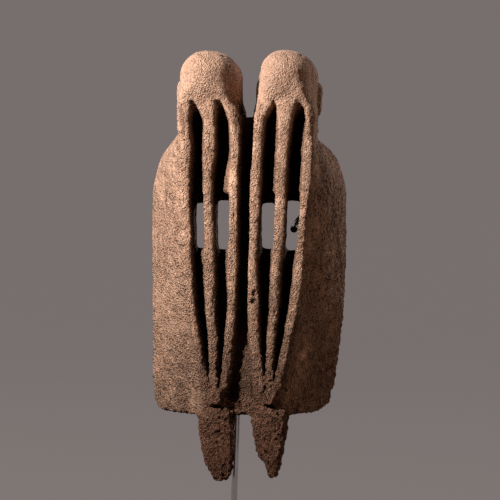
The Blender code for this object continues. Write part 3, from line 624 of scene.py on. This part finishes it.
# The carving stays clear of the rod, its cap and its arm, and inside the solid's box.
rod_x = ROD_FOOT_X + ROD_LEAN * points[:, 2]
near = (np.abs(points[:, 0] - rod_x) < 9.0) & (points[:, 1] > 9.0) & (points[:, 1] < ROD_Y) & (normals[:, 1] > 0.2)
points[near, 1] = np.minimum(points[near, 1], PLATE_BACK_Y - 0.05)
mask_low, mask_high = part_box("mask")
points = np.clip(points, np.array(mask_low) / MM + 0.02, np.array(mask_high) / MM - 0.02)
carving.data.vertices.foreach_set("co", (points * MM).astype(np.float32).ravel())
paint(carving.data, "relief", relief)
paint(carving.data, "behind", behind)
paint(carving.data, "tongue", tongue_part)
paint(carving.data, "deep", deep)
paint(carving.data, "flank", flank)
wings = np.maximum(ease((np.interp(z, ZS, span[:, 0]) - x) / 8.0), ease((x - np.interp(z, ZS, span[:, 1])) / 8.0))
paint(carving.data, "rough", rough * (1 - 0.28 * wings * (1 - tongue_part) * ease((18 - x) / 4.0)) * (1 - 0.2 * ease((z - 440) / 12.0)))
# Pale rubbed ridge fronts, which are real wear. The attribute painted in the next line also lightens the lower right
# wing, which is painted fill light.
wear_and_painted_fill = ease((front_at + 3.0 - y) / 1.5) * ease((x - np.interp(z, ZS, span[:, 0]) + 1.0) / 1.5) * ease((np.interp(z, ZS, span[:, 1]) + 1.0 - x) / 1.5)
paint(carving.data, "wear_and_painted_fill", wear_and_painted_fill * ease((z - 190) / 40.0) * ease((436 - z) / 16.0) * (1 - 0.5 * ease((x - 20.0) / 20.0)) + 2.0 * wings * (1 - tongue_part) * (1 - behind) * ease((x - 40.0) / 10.0) * ease((290 - z) / 110.0))
paint(carving.data, "specks", np.clip(rough, 0.0, 2.4) ** 0.8 * (1 + wings * (1 - tongue_part) * ease((455 - z) / 20) * np.where(x > 18.0, 1.5, 0.2) * ease((z - 150) / 150.0)) * (1 - 0.5 * ease((z - 440) / 15.0)) * np.where(x > 18.0, 1 - 0.65 * wings * (1 - tongue_part) * ease((270 - z) / 80.0), 1 - 0.2 * wings * (1 - tongue_part)))
# Where the painted falloff shade acts: the face and the tongues, little on the wings, not on the hollow behind.
paint(carving.data, "middle", (1 - 0.85 * wings * (1 - tongue_part)) * (1 - behind))
carving.data.update()

triangles = 2 * len(quads)
limit = 197000
if triangles > limit:
    group = carving.vertex_groups.new(name="plain")
    plain = np.clip(0.15 + 0.85 * behind, 0.0, 1.0)
    for low_edge in range(0, 10):
        chosen = np.nonzero((plain >= low_edge / 10) & (plain < (low_edge + 1) / 10 + (1e-6 if low_edge == 9 else 0)))[0]
        if len(chosen):
            group.add(chosen.tolist(), (low_edge + 0.5) / 10, "REPLACE")
    thinner = carving.modifiers.new("thinner", "DECIMATE")
    thinner.ratio = limit / triangles
    thinner.vertex_group = "plain"
    thinner.vertex_group_factor = 0.3
    bpy.context.view_layer.update()
    graph = bpy.context.evaluated_depsgraph_get()
    fewer = bpy.data.meshes.new_from_object(carving.evaluated_get(graph))
    carving.modifiers.clear()
    carving.vertex_groups.clear()
    old = carving.data
    carving.data = fewer
    bpy.data.meshes.remove(old)
    fewer.name = "mask_carving"
    fewer.polygons.foreach_set("use_smooth", np.ones(len(fewer.polygons), bool))
print("mask_carving:", triangles, "triangles carved,", sum(len(p.vertices) - 2 for p in carving.data.polygons), "kept")


# ---- materials -------------------------------------------------------------------------------------------------------
class Nodes:
    """A small helper to lay out a material's nodes."""

    def __init__(self, name):
        self.material = bpy.data.materials.new(name)
        self.material.use_nodes = True
        self.tree = self.material.node_tree
        self.shader = self.tree.nodes["Principled BSDF"]
        self.place = self.add("ShaderNodeTexCoord").outputs["Object"]

    def add(self, kind, **settings):
        node = self.tree.nodes.new(kind)
        for key, value in settings.items():
            setattr(node, key, value)
        return node

    def link(self, a, b):
        self.tree.links.new(a, b)

    def math(self, operation, a, b=None, c=None, clamp=False):
        node = self.add("ShaderNodeMath", operation=operation, use_clamp=clamp)
        for socket, value in zip(node.inputs, (a, b, c)):
            if value is None:
                continue
            if isinstance(value, (int, float)):
                socket.default_value = value
            else:
                self.link(value, socket)
        return node.outputs[0]

    def noise(self, scale, detail=3.0, rough=0.55, stretch=None, seed=0.0):
        vector = self.place
        if stretch or seed:
            mapping = self.add("ShaderNodeMapping")
            self.link(self.place, mapping.inputs["Vector"])
            mapping.inputs["Scale"].default_value = stretch or (1, 1, 1)
            mapping.inputs["Location"].default_value = (seed, seed * 0.7, -seed * 1.3)
            vector = mapping.outputs[0]
        node = self.add("ShaderNodeTexNoise")
        node.inputs["Scale"].default_value = scale
        node.inputs["Detail"].default_value = detail
        node.inputs["Roughness"].default_value = rough
        self.link(vector, node.inputs["Vector"])
        return node.outputs["Fac"]

    def attribute(self, name):
        return self.add("ShaderNodeAttribute", attribute_name=name).outputs["Fac"]

    def spread(self, value, low, high, a=0.0, b=1.0):
        node = self.add("ShaderNodeMapRange", interpolation_type="SMOOTHSTEP")
        for socket, number in zip(("From Min", "From Max", "To Min", "To Max"), (low, high, a, b)):
            node.inputs[socket].default_value = number
        self.link(value, node.inputs["Value"])
        return node.outputs["Result"]

    def mix(self, factor, a, b, blend="MIX"):
        node = self.add("ShaderNodeMix", data_type="RGBA", blend_type=blend)
        for socket, value in ((node.inputs[0], factor), (node.inputs[6], a), (node.inputs[7], b)):
            if isinstance(value, (int, float)):
                socket.default_value = value
            elif isinstance(value, tuple):
                socket.default_value = (*value, 1.0)
            else:
                self.link(value, socket)
        return node.outputs[2]

    def bump(self, height, strength, distance, after=None):
        node = self.add("ShaderNodeBump")
        node.inputs["Strength"].default_value = strength
        node.inputs["Distance"].default_value = distance
        self.link(height, node.inputs["Height"])
        if after is not None:
            self.link(after, node.inputs["Normal"])
        return node.outputs["Normal"]


def crusted_wood():
    m = Nodes("crusted_wood_finish")
    relief, behind, tongue = m.attribute("relief"), m.attribute("behind"), m.attribute("tongue")
    height_at = m.add("ShaderNodeSeparateXYZ")
    m.link(m.place, height_at.inputs[0])
    up = height_at.outputs["Z"]
    broad = m.noise(26.0, 2.0)
    blotch = m.noise(90.0, 3.0, 0.6, seed=0.31)
    grain = m.noise(560.0, 2.0, 0.65, stretch=(1.0, 0.42, 0.80), seed=0.17)
    streak = m.noise(330.0, 2.0, 0.6, stretch=(1.0, 0.5, 0.3), seed=0.71)
    grit = m.noise(900.0, 1.0, 0.6, stretch=(1.0, 0.42, 0.80), seed=0.53)
    rough, specks = m.attribute("rough"), m.attribute("specks")
    # dry earth over the wood: paler on the heads. The darker and redder colour towards the tongues is painted shade for
    # the light falling off downwards.
    earth = m.mix(m.spread(blotch, 0.38, 0.64), (0.245, 0.137, 0.088), (0.345, 0.205, 0.140))
    earth = m.mix(m.math("MULTIPLY", m.spread(broad, 0.42, 0.64), 0.4), earth, (0.262, 0.150, 0.098))
    shifted = m.math("ADD", up, m.math("MULTIPLY", m.math("SUBTRACT", broad, 0.5), 0.05))
    earth = m.mix(m.math("MULTIPLY", m.spread(shifted, 0.395, 0.465), 0.45), earth, (0.400, 0.245, 0.172))
    # Lighter on the rubbed ridge fronts (real wear) and on the lower right wing (painted fill light).
    earth = m.mix(m.math("MULTIPLY", m.attribute("wear_and_painted_fill"), 0.45), earth, m.mix(1.0, earth, (1.65, 1.65, 1.65), "MULTIPLY"))
    # Painted shade: the colour is darkened and reddened from the muzzles down, on the face and tongues, where the light
    # falls off.
    painted_falloff_shade = m.math("MULTIPLY", m.spread(shifted, 0.090, 0.250, 1.0, 0.0), m.attribute("middle"))
    earth = m.mix(painted_falloff_shade, earth, (0.68, 0.52, 0.45), "MULTIPLY")
    pale = m.math("MULTIPLY", m.math("MULTIPLY", m.spread(grit, 0.52, 0.70), specks), 0.40, clamp=True)
    earth = m.mix(pale, earth, m.mix(1.0, earth, (1.75, 1.85, 1.95), "MULTIPLY"))
    dark_spots = m.spread(m.math("ADD", m.math("MULTIPLY", grain, 0.75), m.math("MULTIPLY", streak, 0.25)), 0.36, 0.45, 1.0, 0.0)
    sparse = m.spread(m.noise(300.0, 1.0, 0.5, stretch=(1.0, 0.45, 0.85), seed=1.3), 0.30, 0.36, 1.0, 0.0)
    sparse = m.math("MULTIPLY", sparse, m.spread(specks, 0.30, 1.00, 0.12, 1.0))
    # Sunk relief (pits, chips, cracks) is made darker. On the scar at the left brow corner this darkening is painted
    # shade.
    sunk = m.spread(relief, -0.75, -0.20, 1.0, 0.0)
    sunk = m.math("MAXIMUM", sunk, sparse)
    holes = m.math("MAXIMUM", m.math("MULTIPLY", m.math("MULTIPLY", dark_spots, specks), 0.48, clamp=True), m.math("MULTIPLY", sunk, 0.65))
    earth = m.mix(holes, earth, m.mix(1.0, earth, (0.30, 0.24, 0.21), "MULTIPLY"))
    # Painted shade: darker brown on the ridge sides.
    side = m.mix(m.math("MULTIPLY", m.attribute("flank"), 0.68), earth, (0.135, 0.070, 0.043))
    # Painted shade: nearly black deep in the grooves and between the heads.
    side = m.mix(m.math("MULTIPLY", m.attribute("deep"), 0.85), side, (0.060, 0.030, 0.018))
    inner = m.mix(m.spread(m.noise(60.0, 3.0, 0.6, stretch=(1, 1, 0.25)), 0.35, 0.7), (0.085, 0.046, 0.028), (0.170, 0.098, 0.062))
    inner = m.mix(m.math("MULTIPLY", dark_spots, 0.5), inner, (0.040, 0.020, 0.012))
    m.link(m.mix(m.math("MULTIPLY", behind, 0.92), side, inner), m.shader.inputs["Base Color"])
    m.link(m.spread(grit, 0.3, 0.7, 0.82, 0.98), m.shader.inputs["Roughness"])
    m.shader.inputs["Specular IOR Level"].default_value = 0.15
    height = m.math("ADD", m.math("MULTIPLY", grain, 1.0), m.math("MULTIPLY", grit, 0.9))
    height = m.math("MULTIPLY", m.math("SUBTRACT", height, m.math("MULTIPLY", dark_spots, 0.25)), rough)
    height = m.math("SUBTRACT", height, m.math("MULTIPLY", sparse, 0.7))
    m.link(m.bump(height, 1.0, 0.0062), m.shader.inputs["Normal"])
    return m.material


def polished_steel():
    m = Nodes("polished_steel_finish")
    fine = m.noise(900.0, 2.0, 0.5, stretch=(1.0, 1.0, 0.04))
    cloud = m.noise(40.0, 2.0)
    m.link(m.mix(m.spread(cloud, 0.35, 0.7), (0.60, 0.585, 0.575), (0.70, 0.69, 0.68)), m.shader.inputs["Base Color"])
    m.link(m.spread(fine, 0.3, 0.7, 0.12, 0.26), m.shader.inputs["Roughness"])
    m.shader.inputs["Metallic"].default_value = 1.0
    m.link(m.bump(fine, 0.12, 0.0002), m.shader.inputs["Normal"])
    return m.material


def black_rubber():
    m = Nodes("black_rubber_finish")
    dust = m.noise(300.0, 4.0, 0.6)
    m.link(m.mix(m.spread(dust, 0.45, 0.75), (0.012, 0.012, 0.012), (0.035, 0.032, 0.030)), m.shader.inputs["Base Color"])
    m.link(m.spread(dust, 0.3, 0.7, 0.62, 0.82), m.shader.inputs["Roughness"])
    m.link(m.bump(m.noise(1500.0, 2.0), 0.35, 0.0002), m.shader.inputs["Normal"])
    return m.material


def black_paint():
    m = Nodes("black_paint_finish")
    speck = m.noise(1400.0, 2.0, 0.6)
    cloud = m.noise(22.0, 3.0, 0.6)
    m.link(m.mix(m.spread(cloud, 0.4, 0.75), (0.018, 0.018, 0.020), (0.032, 0.030, 0.030)), m.shader.inputs["Base Color"])
    m.link(m.spread(cloud, 0.3, 0.7, 0.36, 0.50), m.shader.inputs["Roughness"])
    m.link(m.bump(speck, 0.25, 0.0002), m.shader.inputs["Normal"])
    return m.material


wood, steel, rubber, paint_black = crusted_wood(), polished_steel(), black_rubber(), black_paint()
carving.data.materials.clear()
carving.data.materials.append(wood)
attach(carving, "root")
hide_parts("mask")
for node, surface in (("support_rod", steel), ("prong_sleeve", rubber), ("top_cap", rubber), ("base_plate", paint_black)):
    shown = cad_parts[node]
    if not shown.material_slots:
        shown.data.materials.append(surface)
    for place in shown.material_slots:
        place.link = "OBJECT"
        place.material = surface

# ---- floor, backdrop and light -------------------------------------------------------------------------------------------
def sweep(name, flat, wall, height, sides=128):
    """A round floor that runs up into a wall all round, in one smooth curve."""
    profile = [(0.0, 0.0), (flat * 0.5, 0.0), (flat, 0.0)]
    radius = wall - flat
    profile += [(flat + radius * math.sin(a), radius * (1 - math.cos(a))) for a in np.linspace(0, math.pi / 2, 24)[1:]]
    profile += [(wall, height)]
    points, faces = [(0.0, 0.0, 0.0)], []
    for r, h in profile[1:]:
        points += [(r * math.cos(2 * math.pi * k / sides), r * math.sin(2 * math.pi * k / sides), h) for k in range(sides)]
    for k in range(sides):
        faces.append((0, 1 + k, 1 + (k + 1) % sides))
    for ring in range(len(profile) - 2):
        a, b = 1 + ring * sides, 1 + (ring + 1) * sides
        for k in range(sides):
            n = (k + 1) % sides
            faces.append((a + k, b + k, b + n, a + n))
    mesh = bpy.data.meshes.new(name)
    mesh.from_pydata(points, [], faces)
    mesh.polygons.foreach_set("use_smooth", np.ones(len(mesh.polygons), bool))
    made = bpy.data.objects.new(name, mesh)
    scene.collection.objects.link(made)
    return made


backdrop = sweep("backdrop", 3.3, 4.6, 4.0)
cloth = Nodes("backdrop_paper")
cloth.link(cloth.mix(cloth.noise(1.2, 2.0), (0.30, 0.265, 0.26), (0.32, 0.285, 0.28)), cloth.shader.inputs["Base Color"])
cloth.shader.inputs["Roughness"].default_value = 0.95
cloth.shader.inputs["Specular IOR Level"].default_value = 0.1
cloth.shader.inputs["Emission Color"].default_value = (1.0, 0.87, 0.85, 1.0)
cloth.shader.inputs["Emission Strength"].default_value = 0.17
backdrop.data.materials.append(cloth.material)
backdrop.visible_diffuse = False

# The lamps are aimed at the piece alone, and the floor has a broad soft light of its own, so that it stays plain.
piece_only = bpy.data.collections.new("piece_only")
for shown in [carving] + [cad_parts[node] for node in ("support_rod", "prong_sleeve", "top_cap", "base_plate")]:
    piece_only.objects.link(shown)

AIM = Vector((0.0186, 0.0, 0.300))


def direction(azimuth, elevation):
    a, e = math.radians(azimuth), math.radians(elevation)
    return Vector((math.sin(a) * math.cos(e), -math.cos(a) * math.cos(e), math.sin(e)))


def area_light(name, azimuth, elevation, distance, size, power, colour=(1, 1, 1), aim=AIM):
    data = bpy.data.lights.new(name, "AREA")
    data.shape = "DISK"
    data.size = size
    data.energy = power
    data.color = colour
    made = bpy.data.objects.new(name, data)
    scene.collection.objects.link(made)
    back = direction(azimuth, elevation)
    made.location = aim + back * distance
    made.rotation_mode = "QUATERNION"
    made.rotation_quaternion = (-back).to_track_quat("-Z", "Y")
    made.visible_camera = False
    return made


def spot_light(name, azimuth, elevation, distance, radius, power, cone, colour, aim):
    data = bpy.data.lights.new(name, "SPOT")
    data.shadow_soft_size = radius
    data.energy = power
    data.color = colour
    data.spot_size = 2 * math.atan(cone / distance)
    data.spot_blend = 1.0
    made = bpy.data.objects.new(name, data)
    scene.collection.objects.link(made)
    back = direction(azimuth, elevation)
    made.location = aim + back * distance
    made.rotation_mode = "QUATERNION"
    made.rotation_quaternion = (-back).to_track_quat("-Z", "Y")
    made.visible_camera = False
    return made


key = spot_light("key", -38, 23, 1.35, 0.065, 312.0, 0.385, (1.0, 0.965, 0.93), Vector((-0.10, 0.0, 0.440)))
fill = area_light("fill", 72, 4, 1.9, 0.9, 1.3, (1.0, 0.76, 0.60), Vector((0.0, 0.0, 0.30)))
low_fill = area_light("low_fill", 76, -9, 0.9, 0.25, 2.9, (1.0, 0.72, 0.55), Vector((0.05, 0.0, 0.17)))
rim = spot_light("rim", 150, 22, 2.5, 0.35, 170.0, 0.46, (1.0, 0.90, 0.84), Vector((0.0, 0.0, 0.28)))
back = spot_light("back", -160, 30, 2.5, 0.45, 260.0, 0.46, (1.0, 0.92, 0.88), Vector((0.0, 0.0, 0.28)))
for lamp in (key, fill, rim, back):
    lamp.light_linking.receiver_collection = piece_only
mask_only = bpy.data.collections.new("mask_only")
mask_only.objects.link(carving)
low_fill.light_linking.receiver_collection = mask_only
floor_only = bpy.data.collections.new("floor_only")
floor_only.objects.link(backdrop)
soft_top = area_light("soft_top", -60, 62, 2.6, 1.6, 9.0, (1.0, 0.95, 0.92), Vector((0.0, 0.0, 0.0)))
soft_top.light_linking.receiver_collection = floor_only

world = bpy.data.worlds.new("room")
world.use_nodes = True
world.node_tree.nodes["Background"].inputs["Color"].default_value = (0.030, 0.024, 0.021, 1.0)
world.node_tree.nodes["Background"].inputs["Strength"].default_value = 1.0
scene.world = world

# ---- camera ------------------------------------------------------------------------------------------------------------------
camera_data = bpy.data.cameras.new("camera")
camera_data.sensor_width = 36.0
camera_data.lens = 136.8
camera = bpy.data.objects.new("camera", camera_data)
scene.collection.objects.link(camera)
look_from = direction(4.5, 0.0)
camera.location = AIM + look_from * 1.9
camera.rotation_mode = "QUATERNION"
camera.rotation_quaternion = (-look_from).to_track_quat("-Z", "Y")
scene.camera = camera
scene.view_settings.view_transform = "Standard"

bpy.context.view_layer.update()
